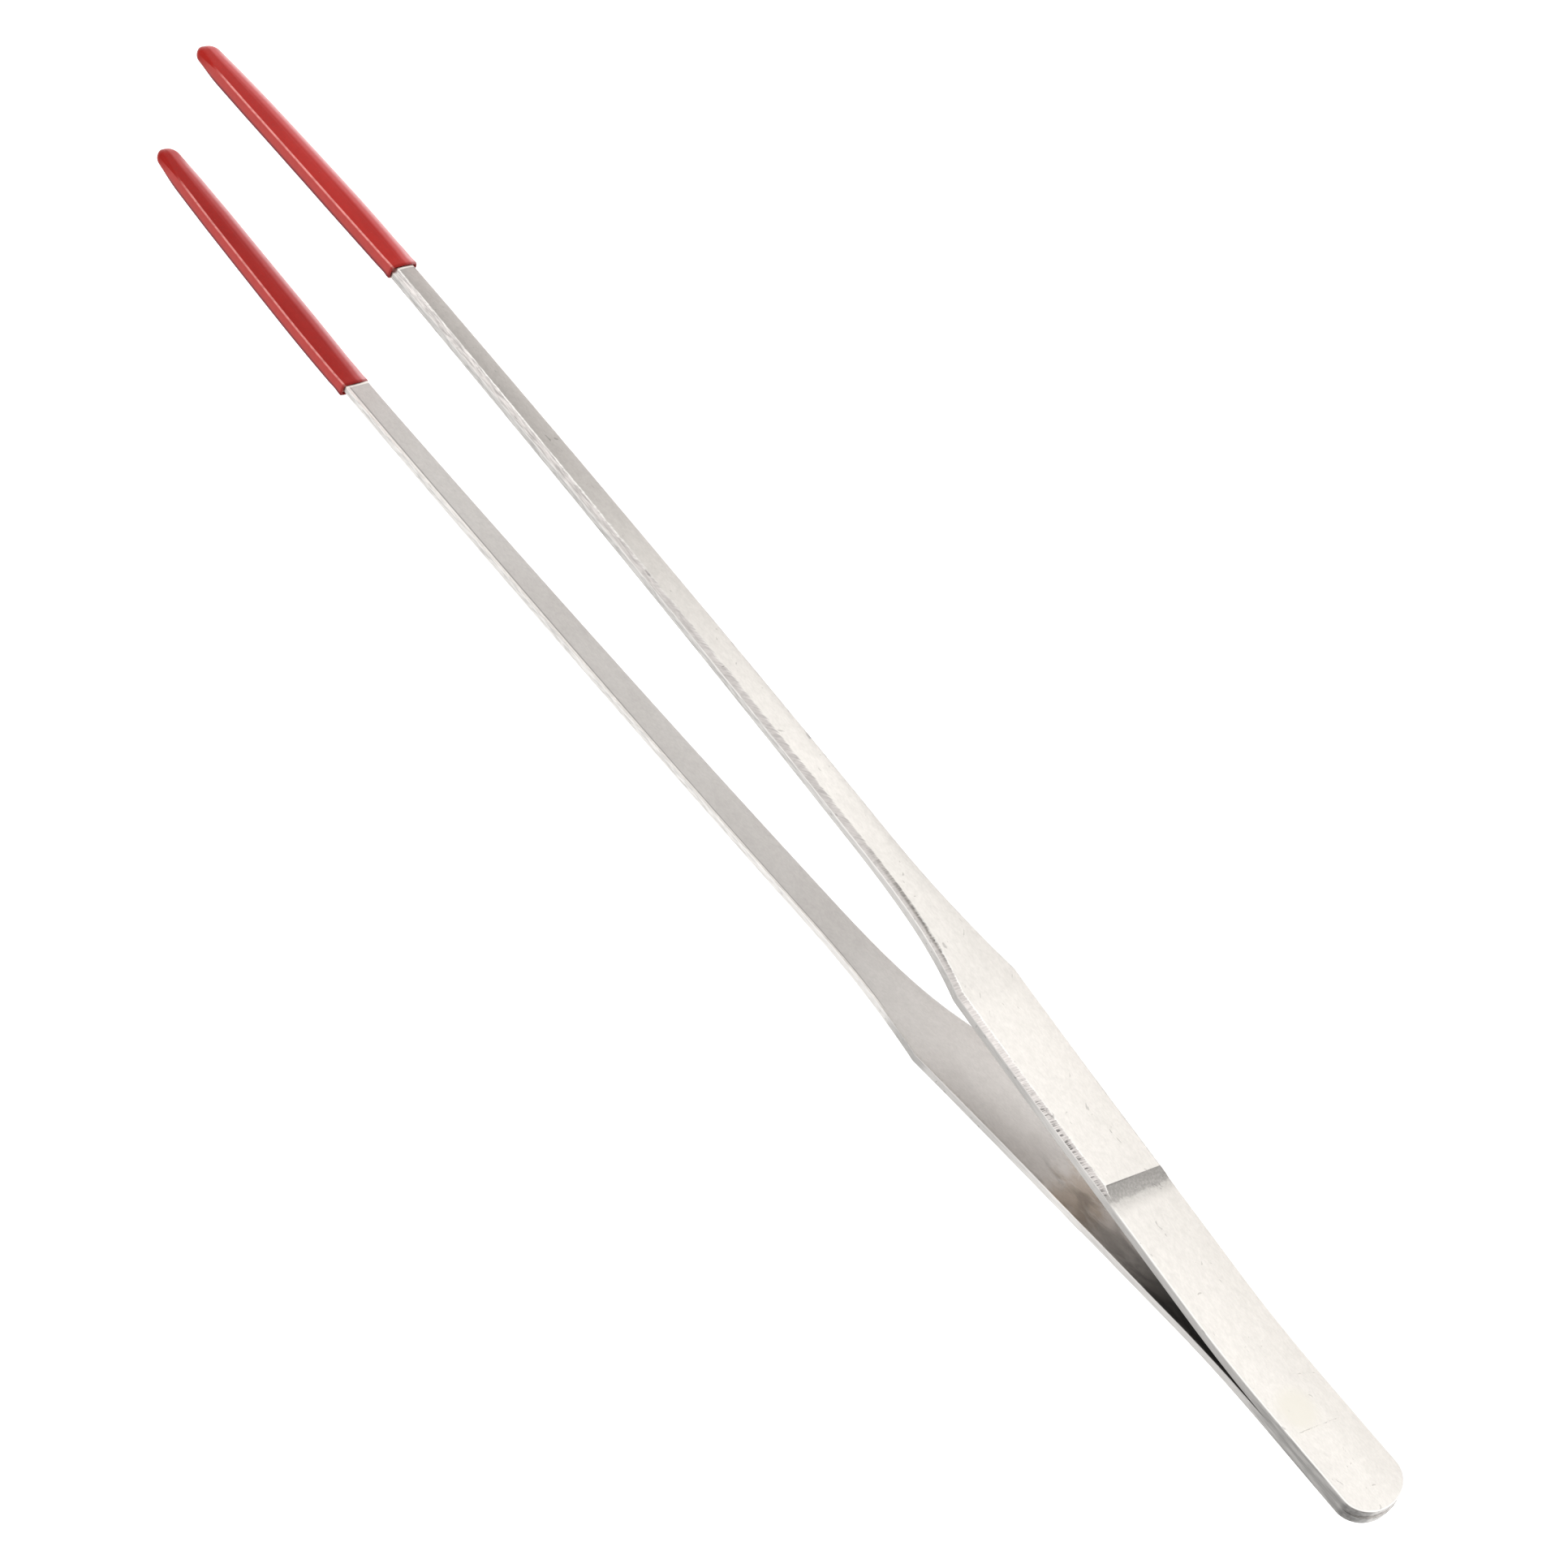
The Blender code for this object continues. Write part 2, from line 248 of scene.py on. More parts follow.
def outline():
    """Half of the strip's outline from the heel's middle: (station, across, normal)."""
    points = []
    for step in range(HEEL_ARC_STEPS):
        angle = math.radians(90 * step / HEEL_ARC_STEPS)
        along, over = HEEL_END_LENGTH * (1 - math.cos(angle)), STRIP_WIDTH / 2 * math.sin(angle)
        normal = Vector((-STRIP_WIDTH / 2 * math.cos(angle), HEEL_END_LENGTH * math.sin(angle)))
        points.append((along, over, normal.normalized()))
    stations = []
    for start, end, spacing in (np.array(SECTION_SPANS) * MM).tolist():
        count = max(2, round((end - start) / spacing))
        stations += [start + (end - start) * k / count for k in range(count)]
    for station in stations + [STEEL_END]:
        before, after = half_width(station - SLOPE_REACH), half_width(station + SLOPE_REACH)
        slope = (after - before) / (2 * SLOPE_REACH)
        points.append((station, half_width(station), Vector((-slope, 1)).normalized()))
    return points


def arm_steel(name, side):
    """One whole strip as a closed mesh, with its own coordinates as attributes."""
    bm = bmesh.new()
    where = bm.verts.layers.float_vector.new("strip_place")    # station, across, depth
    rim = bm.verts.layers.float_vector.new("strip_rim")        # inset, outer side, which arm

    def vertex(station, across, depth, inset, outer):
        trim = HEEL_TRIM * smooth(1 - station / HEEL_TRIM_RUN) if side == RIGHT else 0
        shrink = 1 - HIDDEN_SHRINK * hidden(station)
        middle = ARM_THICKNESS / 2
        near_heel = smooth((CLOSED_TO - station) / CLOSED_RUN)
        closed = FACE_GAP / 2 * near_heel if depth < INNER_SKIN else 0
        v = bm.verts.new(place(station + trim, across * shrink,
                               middle + (depth - middle) * shrink - closed, side))
        v[where] = (station, across, depth)
        v[rim] = (inset, outer, side)
        return v

    rings = []
    for station, over, normal in outline():
        profile = edge_profile(station)
        full, dome = thickness(station), crown(station)
        rows = {}
        for sign in (1, -1):
            row = []
            for k, (inset, depth) in enumerate(profile):
                s = station - normal.x * inset
                z = over - normal.y * inset
                lowered = dome * (z / max(over, MM))**2 if depth > full / 2 else 0
                outer = 1.0 if depth > full * OUTER_PART else 0.0
                if over == 0 and sign < 0:
                    row.append(rows[1][k])
                    continue
                row.append(vertex(s, sign * z, depth - lowered, inset, outer))
            rows[sign] = row
        s_in, z_in = station - normal.x * profile[0][0], over - normal.y * profile[0][0]
        s_out, z_out = station - normal.x * profile[-1][0], over - normal.y * profile[-1][0]
        faces = []
        for s, z, depth, columns, k in ((s_in, z_in, 0, INNER_COLUMNS, 0),
                                        (s_out, z_out, full, OUTER_COLUMNS, -1)):
            grid = [rows[1][k]]
            for c in range(1, columns):
                zc = z * (1 - 2 * c / columns)
                lowered = dome * (zc / max(over, MM))**2 if depth else 0
                if over == 0:
                    grid.append(rows[1][k])
                else:
                    grid.append(vertex(s, zc, depth - lowered, over - abs(zc),
                                       1.0 if depth else 0.0))
            grid.append(rows[-1][k])
            faces.append(grid)
        rings.append((rows, faces))

    def quad(corners):
        unique = list(dict.fromkeys(corners))
        if len(unique) > 2:
            bm.faces.new(unique)

    for (rows, grids), (next_rows, next_grids) in zip(rings, rings[1:]):
        for sign in (1, -1):
            for k in range(len(rows[sign]) - 1):
                quad((rows[sign][k], next_rows[sign][k], next_rows[sign][k + 1], rows[sign][k + 1]))
        for grid, next_grid in zip(grids, next_grids):
            for k in range(len(grid) - 1):
                quad((grid[k], next_grid[k], next_grid[k + 1], grid[k + 1]))
    rows, grids = rings[-1]
    bm.faces.new(rows[1] + grids[1][1:-1] + rows[-1][::-1] + grids[0][1:-1][::-1])
    bmesh.ops.recalc_face_normals(bm, faces=bm.faces)
    return finish_mesh(bm, name, STEEL_CREASE)


def finish_mesh(bm, name, sharp_degrees):
    """Smooth object in the scene, with sharp edges where it turns by more than the angle."""
    mesh = bpy.data.meshes.new(name)
    bm.to_mesh(mesh)
    bm.free()
    mesh.shade_smooth()
    mesh.set_sharp_from_angle(angle=math.radians(sharp_degrees))
    obj = bpy.data.objects.new(name, mesh)
    bpy.context.scene.collection.objects.link(obj)
    return obj


def sleeve_ring(station, grow, scale, to_end):
    """Outline of the sleeve at a station: crisp upper edges, round lower ones, domed faces.

    Gives (across, depth, inset from the side)."""
    stations, extra = np.array(SLEEVE_SWELL).T * MM
    swell = float(np.interp(station, stations, extra))
    top = half_width(station) + grow + swell
    middle = ARM_THICKNESS / 2
    near_end = smooth(1 - to_end / ROUND_END_RUN)
    past_lip = smooth((station - SLEEVE_AT) / LIP_RUN)
    upper = SLEEVE_EDGE + (ROUND_END_TAKE * top - SLEEVE_EDGE) * near_end
    lower = SLEEVE_LIP_EDGE + (SLEEVE_FAR_EDGE - SLEEVE_LIP_EDGE) * past_lip

    def rise(z, sign):
        """Distance of a face from the middle of the thickness."""
        drop = UPPER_DROP if sign == 1 else LOWER_DROP
        return middle + grow - drop * abs(z / top)**DOME_POWER

    def quarter(sign, side):
        """From the middle of a face to the narrow side."""
        reach = upper if sign == 1 else lower
        start, edge = top - reach, rise(top, 1)
        held = edge - min(upper, EDGE_TAKE * edge) if sign == 1 else 0
        flat = [start * k / FACE_STEPS for k in range(FACE_STEPS + 1)]
        row = [(z, rise(z, sign)) for z in flat]
        for k in range(1, EDGE_STEPS):
            angle = math.radians(90 * k / EDGE_STEPS)
            row.append((start + reach * math.sin(angle),
                        held + (rise(start, sign) - held) * math.cos(angle)))
        return [(sign * z, middle + side * height) for z, height in row]

    ring = (quarter(1, 1) + [(top, middle)] + quarter(1, -1)[::-1]
            + quarter(-1, -1)[1:] + [(-top, middle)] + quarter(-1, 1)[:0:-1])
    return [(z * scale - SLEEVE_HANG * swell, middle + (depth - middle) * scale, top - abs(z))
            for z, depth in ring]


def tip_sleeve(name, side):
    """Dipped skin over the tip: a rolled lip, domed faces and a round end."""
    bm = bmesh.new()
    where = bm.verts.layers.float_vector.new("strip_place")
    rim = bm.verts.layers.float_vector.new("strip_rim")
    spans = [(SLEEVE_AT + past * MM, SLEEVE_SKIN + extra * MM, 1) for past, extra in LIP_PROFILE]
    end = sleeve_end(side)
    last = end - TIP_ROUND
    count = round((last - SLEEVE_AT - LIP_LENGTH) / SLEEVE_SPACING)
    for k in range(count + 1):
        station = SLEEVE_AT + LIP_LENGTH + (last - SLEEVE_AT - LIP_LENGTH) * k / count
        spans.append((station, SLEEVE_SKIN, 1))
    for degrees in range(END_STEP, 90 - 1, END_STEP):
        angle = math.radians(degrees)
        spans.append((last + TIP_ROUND * math.sin(angle), SLEEVE_SKIN, math.cos(angle)))

    def vertex(station, across, depth, inset):
        v = bm.verts.new(place(station, across, depth, side))
        v[where] = (station, across, depth)
        v[rim] = (inset, 1, side)
        return v

    rings = [[vertex(station, *point) for point in sleeve_ring(station, grow, scale, end - station)]
             for station, grow, scale in spans]
    count = len(rings[0])
    for ring, following in zip(rings, rings[1:]):
        for k in range(count):
            j = (k + 1) % count
            bm.faces.new((ring[k], ring[j], following[j], following[k]))
    bm.faces.new(rings[0])
    pole = vertex(end, 0, ARM_THICKNESS / 2, 2 * MM)
    for k in range(count):
        bm.faces.new((rings[-1][k], rings[-1][(k + 1) % count], pole))
    bmesh.ops.recalc_face_normals(bm, faces=bm.faces)
    return finish_mesh(bm, name, SLEEVE_CREASE)


class Graph:
    """Short words for building a material's nodes."""

    def __init__(self, name):
        self.material = bpy.data.materials.new(name)
        self.material.use_nodes = True
        self.tree = self.material.node_tree
        self.shader = self.tree.nodes["Principled BSDF"]

    def node(self, kind, **values):
        node = self.tree.nodes.new(kind)
        for key, value in values.items():
            setattr(node, key, value)
        return node

    def feed(self, socket, value):
        if isinstance(value, bpy.types.NodeSocket):
            self.tree.links.new(value, socket)
        else:
            socket.default_value = value

    def math(self, operation, a, b=0.0):
        node = self.node("ShaderNodeMath", operation=operation)
        self.feed(node.inputs[0], a)
        self.feed(node.inputs[1], b)
        return node.outputs[0]

    def add(self, first, *others):
        for other in others:
            first = self.math("ADD", first, other)
        return first

    def times(self, first, *others):
        for other in others:
            first = self.math("MULTIPLY", first, other)
        return first

    def larger(self, a, b):
        return self.math("MAXIMUM", a, b)

    def inverse(self, a):
        return self.math("SUBTRACT", 1.0, a)

    def blend_numbers(self, factor, a, b):
        """a where factor is 0, b where it is 1."""
        return self.add(self.times(self.inverse(factor), a), self.times(factor, b))

    def combined(self, x, y, z):
        node = self.node("ShaderNodeCombineXYZ")
        for socket, value in zip(node.inputs, (x, y, z)):
            self.feed(socket, value)
        return node.outputs[0]

    def scaled(self, vector, x, y, z):
        node = self.node("ShaderNodeMapping", vector_type="POINT")
        self.feed(node.inputs["Vector"], vector)
        node.inputs["Scale"].default_value = (x, y, z)
        return node.outputs[0]

    def noise(self, vector, detail, roughness=0.55, distortion=0.0):
        node = self.node("ShaderNodeTexNoise")
        self.feed(node.inputs["Vector"], vector)
        node.inputs["Scale"].default_value = 1.0
        node.inputs["Detail"].default_value = detail
        node.inputs["Roughness"].default_value = roughness
        node.inputs["Distortion"].default_value = distortion
        return node.outputs["Fac"]

    def sway(self, noise, reach):
        """Turns a noise into a length that wanders to both sides of 0."""
        return self.times(self.add(noise, -0.5), reach)

    def ramp(self, value, low, high, to_low=0.0, to_high=1.0):
        """Smooth step from low to high."""
        node = self.node("ShaderNodeMapRange", interpolation_type="SMOOTHSTEP")
        self.feed(node.inputs["Value"], value)
        for key, number in (("From Min", low), ("From Max", high), ("To Min", to_low),
                            ("To Max", to_high)):
            self.feed(node.inputs[key], number)
        return node.outputs["Result"]

    def run(self, length, low, high, to_low=0.0, to_high=1.0):
        """Smooth step of a length, from low to high in mm."""
        return self.ramp(length, low * MM, high * MM, to_low, to_high)

    def band(self, length, start, full, fade, end):
        """1 between full and fade, 0 before start and after end, all in mm."""
        return self.times(self.run(length, start, full), self.run(length, end, fade))

    def within(self, zone, inside, outside=1.0):
        """A tone that a zone turns from outside to inside."""
        return self.ramp(zone, 0, 1, outside, inside)

    def mix(self, factor, a, b):
        node = self.node("ShaderNodeMix", data_type="RGBA")
        self.feed(node.inputs["Factor"], factor)
        self.feed(node.inputs["A"], a)
        self.feed(node.inputs["B"], b)
        return node.outputs["Result"]

    def shade(self, colour, *factors):
        """Colour times numbers."""
        for factor in factors:
            node = self.node("ShaderNodeVectorMath", operation="SCALE")
            self.feed(node.inputs[0], colour)
            self.feed(node.inputs["Scale"], factor)
            colour = node.outputs[0]
        return colour

    def bump(self, height, distance, strength, before=None):
        """Normal raised by a height, on top of an earlier bump; the distance is in mm."""
        node = self.node("ShaderNodeBump")
        node.inputs["Strength"].default_value = strength
        node.inputs["Distance"].default_value = distance * MM
        self.feed(node.inputs["Height"], height)
        if before is not None:
            self.feed(node.inputs["Normal"], before)
        return node.outputs["Normal"]


class StripGraph(Graph):
    """Graph of a material that is laid out by the strip's own coordinates."""

    def __init__(self, name):
        super().__init__(name)
        self.place, self.station, self.across, self.depth = self.attribute("strip_place")
        _, self.inset, self.outer, self.arm = self.attribute("strip_rim")

    def attribute(self, name):
        node = self.node("ShaderNodeAttribute", attribute_name=name)
        parts = self.node("ShaderNodeSeparateXYZ")
        self.tree.links.new(node.outputs["Vector"], parts.inputs[0])
        return node.outputs["Vector"], parts.outputs[0], parts.outputs[1], parts.outputs[2]

    def pattern(self, along, over, detail, roughness=0.55, distortion=0.0):
        """Noise with so many waves per metre along and over the strip."""
        place = self.scaled(self.place, along, over, over)
        return self.noise(place, detail, roughness, distortion)

    def cross_marks(self, slant, along, inwards, over, detail, roughness=0.55):
        """Noise drawn out over the long edges, leaning along the strip by the slant."""
        leaning = self.times(self.add(self.station, self.times(self.inset, slant)), along)
        place = self.combined(leaning, self.times(self.inset, inwards),
                              self.times(self.across, over))
        return self.noise(place, detail, roughness)

    def scratch(self, start, end, broken):
        """Thin line between two points (station, across) in mm, broken up by a noise."""
        length = math.hypot(end[0] - start[0], end[1] - start[1])
        u, v = (end[0] - start[0]) / length, (end[1] - start[1]) / length
        from_s = self.add(self.station, -start[0] * MM)
        from_z = self.add(self.across, -start[1] * MM)
        along = self.add(self.times(from_s, u), self.times(from_z, v))
        off = self.add(self.times(from_s, v), self.times(from_z, -u))
        off = self.math("ABSOLUTE", self.add(off, self.sway(broken, SCRATCH_SWAY)))
        return self.times(self.run(off, *SCRATCH_HALF_WIDTH),
                          self.band(along, 0, SCRATCH_FADE, length - SCRATCH_FADE, length),
                          self.ramp(broken, 0.44, 0.54, 0.10, 1.0))


# Stations in mm, and where the steel's look changes, as (from, to) in mm along the strip.
STEP, SHOULDER, LIP = STEP_AT / MM, SHOULDER_AT / MM, SLEEVE_AT / MM
GRIP_BURNISH = (68, 82)         # the bevels get smoother over the grips
NECK = (94, 102)
SLANTED_STROKES = (108, 128)    # grinding marks lean and lengthen along the reach
FAR_REACH = (128, 214)
LEAF_OXIDE = (60, 74)           # clouds of heat oxide fade out here

# Bands beside the long edges, as (from, to) in mm of inset.
ON_SIDE = (0.10, 0.03)
BEVEL_EDGE = (0.92, 0.68)

# Colours, linear.
# Painted shade: the slender part's steel colour is darker than the grips'.
GRIP_STEEL, REACH_SHADED_STEEL = (0.614, 0.591, 0.563, 1), (0.322, 0.303, 0.287, 1)
# Painted shade: the inner face's steel colours are darker.
INNER_SHADED_STEEL, INNER_SHADED_CLOUD = (0.413, 0.396, 0.382, 1), (0.384, 0.365, 0.351, 1)
HEAT_BROWN, HEAT_STRAW = (0.390, 0.332, 0.280, 1), (0.594, 0.571, 0.519, 1)
# Painted shade: the scoop's steel colour is dark.
SCOOP_SHADED_STEEL, STREAK_STEEL = (0.256, 0.247, 0.236), (0.150, 0.141, 0.130)
BEVEL_STEEL, SIDE_STEEL = (1.0, 0.946, 0.918), (1.0, 0.976, 0.950)
# Painted highlights: glints along the edges and at the lip.
EDGE_GLINT, HEEL_GLINT = (0.78, 0.77, 0.75, 1), (0.72, 0.71, 0.69, 1)
LIP_GLINT = (0.74, 0.73, 0.68, 1)
VINYL_DARK, VINYL_LIGHT = (0.270, 0.0050, 0.0020, 1), (0.300, 0.0080, 0.0040, 1)
# Painted reflection on the lower, domed part of the faces.
VINYL_LOWER_REFLECTION, VINYL_PALE_REFLECTION = (0.395, 0.066, 0.066, 1), (0.62, 0.36, 0.37, 1)
# Painted sheen on the upper side, painted shade on its far part.
VINYL_SIDE_SHEEN, VINYL_FAR_SIDE_SHADE = (0.385, 0.052, 0.047, 1), (0.13, 0.020, 0.028, 1)
# Painted highlight along the upper edges, painted shade at the lip.
VINYL_EDGE_HIGHLIGHT, VINYL_LIP_SHADE = (0.56, 0.205, 0.190, 1), (0.15, 0.003, 0.002, 1)
VINYL_DUST = (0.42, 0.20, 0.17, 1)

SCRATCH_SWAY = 0.5 * MM
SCRATCH_HALF_WIDTH = (0.11, 0.03)           # mm, from nothing to full strength
SCRATCH_FADE = 0.4                          # mm at both ends
WEAR_DARKENING = 0.28


def steel_zones(g):
    """Noises and zones that several parts of the steel's look share."""
    g.grain = g.pattern(1700, 3400, 3)
    g.blotch = g.pattern(650, 900, 3, 0.6, 0.5)
    g.mottle = g.pattern(260, 420, 4, 0.6, 0.6)
    g.cloud = g.pattern(30, 90, 2)
    g.speck = g.pattern(2600, 2600, 2)
    g.fibre = g.pattern(420, 4800, 3, 0.6, 0.4)
    ticks = g.cross_marks(0.45, 6600, 900, 60, 1.5, 0.6)
    strokes = g.cross_marks(2.2, 3100, 700, 60, 2, 0.65)
    g.ticks = g.blend_numbers(g.run(g.station, *SLANTED_STROKES), ticks, strokes)
    g.long_ticks = g.cross_marks(0, 900, 300, 40, 2)

    g.outer_side = g.ramp(g.outer, 0.4, 0.6)
    g.on_left = g.ramp(g.arm, 0.5, 0.9)
    upper_half = g.run(g.across, 0, 1)
    g.past_step = g.times(g.run(g.station, STEP - 2.5, STEP),
                          g.larger(upper_half, g.run(g.station, STEP - 0.05, STEP)))
    g.past_neck = g.run(g.station, *NECK)
    g.far_reach = g.run(g.station, *FAR_REACH)
    g.on_side = g.times(g.run(g.inset, *ON_SIDE),
                        g.larger(g.run(g.depth, 0.02, 0.10), g.run(g.station, 25, 18)))

    # The boundary between the ground bevel and the face is ragged.
    reach = g.times(g.run(g.station, *SLANTED_STROKES, 0.5 * MM, 1.4 * MM),
                    g.run(g.station, 175, 200, 1.0, 0.28))
    ragged = g.sway(g.blend_numbers(0.3, g.ticks, g.long_ticks), reach)
    g.edge_at = g.add(g.inset, ragged)
    g.bevel_zone = g.times(g.run(g.edge_at, *BEVEL_EDGE), g.past_step, g.outer_side,
                           g.inverse(g.on_side))


def outer_face(g):
    """Bright on the grips; painted shade greys the slender part, its lower edge and the neck, and
    grades the far reach across.
    """
    # Painted shade across the far reach, along the lower edge past the neck and at the neck.
    lean = g.times(g.across, g.run(g.station, 182, 215, 0, -0.22 / (3 * MM)))
    low_edge_shade = g.times(g.run(g.across, -0.6, -2.4), g.run(g.station, 100, 116),
                       g.run(g.station, 175, 150, 0, 0.09))
    neck = g.band(g.station, 87, 92, 108, 138)
    return g.shade(g.mix(g.far_reach, GRIP_STEEL, REACH_SHADED_STEEL), g.add(1.0, lean),
                   g.inverse(low_edge_shade), g.within(neck, 0.95),
                   g.ramp(g.cloud, 0.3, 0.7, 1.02, 0.965))


def inner_face(g):
    """Duller, and darker as painted shade, most in the gap near the weld, with painted light past
    the leaf and at the heel end; clouds of oxide towards the weld, warmer just past the leaf.
    """
    face = g.mix(g.ramp(g.cloud, 0.3, 0.7), INNER_SHADED_STEEL, INNER_SHADED_CLOUD)
    # Painted shade in the gap between the arms near the weld and on its gap side, painted light
    # past the leaf and at the heel end.
    gap_shade = g.times(g.run(g.across, 0, 4.5, 0, 0.08), g.run(g.station, 92, 80))
    tone = g.times(g.run(g.station, 40, 56, 0.62, 1.44), g.run(g.station, 80, 118, 1.0, 1 / 1.40),
                   g.run(g.station, 16, 6, 1.0, 2.1), g.inverse(gap_shade))
    wander = g.add(g.station, g.sway(g.mottle, 14 * MM))
    warm = g.band(wander, 55, 59, 62, 67)
    face = g.mix(g.times(warm, 0.75), g.shade(face, tone), HEAT_BROWN)
    oxide = g.ramp(g.pattern(130, 330, 3, 0.6, 0.8), 0.36, 0.62, 0.82, 1.24)
    face = g.shade(face, g.blend_numbers(g.run(g.station, *LEAF_OXIDE), oxide, 1.0))

    # Painted highlight along the reach's inner edge, standing in for an edge break, with a painted
    # shade line beside it.
    lip_inset = g.times(g.inset, g.run(g.station, 100, 215, 1.25, 0.75))
    on_reach = g.times(g.run(g.station, SHOULDER + 7, SHOULDER + 12), g.run(g.across, 0, 1))
    inner_edge_highlight = g.times(g.run(lip_inset, 0.42, 0.34), on_reach)
    inner_edge_shade_line = g.times(g.band(lip_inset, 0.36, 0.44, 0.54, 0.66), on_reach, 0.36)
    return g.shade(face, g.within(inner_edge_highlight, g.ramp(g.fibre, 0.34, 0.62, 1.34, 1.60)),
                   g.inverse(inner_edge_shade_line))


def with_weld_tint(g, colour):
    """Straw heat tint over the weld."""
    over, along = g.add(g.across, -WELD_ACROSS), g.add(g.station, -WELD_AT)
    radius = g.math("SQRT", g.add(g.times(over, over), g.times(along, along)))
    tint = g.run(g.add(radius, g.sway(g.mottle, 1.6 * MM)), 4.4, 1.6)
    return g.mix(g.times(tint, g.outer_side, 0.9), colour, HEAT_STRAW)


def with_scoop(g, colour):
    """The scoop before the step, dark as painted shade with a painted shade line at the step, and
    the blasted run-out behind it.
    """
    blasted = g.add(g.station, g.sway(g.speck, 1.3 * MM), g.sway(g.blotch, 1.6 * MM))
    g.scoop = g.times(g.run(blasted, STEP - 2.70, STEP - 2.15),
                      g.run(g.station, STEP + 0.02, STEP - 0.02), g.outer_side)
    g.run_out = g.times(g.run(blasted, STEP - 5.0, STEP - 2.4),
                        g.run(g.station, STEP, STEP - 1.5), g.outer_side)
    # Painted shade: a thin dark line just before the step.
    step_shade_line = g.times(g.run(g.station, STEP - 0.28, STEP - 0.14),
                        g.run(g.across, -1, 1, 0.06, 0.22))
    tone = g.times(g.ramp(g.speck, 0.25, 0.75, 0.86, 1.14),
                   g.run(g.station, STEP - 2.3, STEP, 1.26, 1.02), g.inverse(step_shade_line))
    dulling = g.times(g.run_out, g.ramp(g.speck, 0.35, 0.65, 0.30, 0.16))
    colour = g.shade(colour, g.inverse(dulling))
    return g.mix(g.times(g.scoop, 0.95), colour, g.shade(SCOOP_SHADED_STEEL, tone))


def with_bevels(g, colour):
    """Cross-ground bevels with ticks on the grips and neck, and fibres near the sleeves."""
    near_face = g.run(g.inset, 0.30, 0.52)
    ticked = g.blend_numbers(g.past_neck, g.inverse(near_face), near_face)
    soft_ticks = g.ramp(g.ticks, 0.35, 0.65, 0.90, 1.10)
    hard_ticks = g.ramp(g.ticks, 0.36, 0.60, g.run(g.station, *GRIP_BURNISH, 0.30, 0.88),
                        g.run(g.station, *GRIP_BURNISH, 1.20, 1.10))
    burnish = g.band(g.station, *GRIP_BURNISH, 88, 94)
    tick_tone = g.times(g.blend_numbers(ticked, soft_ticks, hard_ticks),
                        g.ramp(g.long_ticks, 0.35, 0.6, 0.93, 1.04),
                        g.within(burnish, 0.56, 0.45), g.run(g.station, 118, 130, 1.0, 0.90))
    fibre_tone = g.ramp(g.fibre, 0.32, 0.66, 0.30, 0.56)
    edge_tone = g.blend_numbers(g.far_reach, tick_tone, fibre_tone)
    colour = g.mix(g.bevel_zone, colour, g.shade(BEVEL_STEEL, edge_tone))

    # Dark streaks at the bevel's ragged edge on the neck, then painted highlights as glints along
    # the edges.
    streak = g.times(g.band(g.station, 93, 102, 106, 126), g.outer_side,
                     g.band(g.edge_at, 0.26, 0.54, 0.80, 0.94), g.run(g.across, 0, 1))
    streak_tone = g.ramp(g.ticks, 0.36, 0.62, 0.80, 1.80)
    colour = g.mix(g.times(streak, 0.85), colour, g.shade(STREAK_STEEL, streak_tone))
    arris = g.times(g.band(g.edge_at, 0.62, 0.72, 0.80, 0.94),
                    g.add(g.run(g.station, 112, 98), g.far_reach), g.past_step, g.outer_side,
                    g.run(g.across, -1, 1, 0.2, 1.0), g.ramp(g.mottle, 0.36, 0.58, 0.35, 1.0))
    colour = g.mix(g.times(arris, 0.75), colour, EDGE_GLINT)
    heel_line = g.times(g.band(g.inset, 0.02, 0.07, 0.18, 0.26), g.outer_side,
                        g.run(g.station, 56, 52))
    return g.mix(g.times(heel_line, 0.8), colour, HEEL_GLINT)


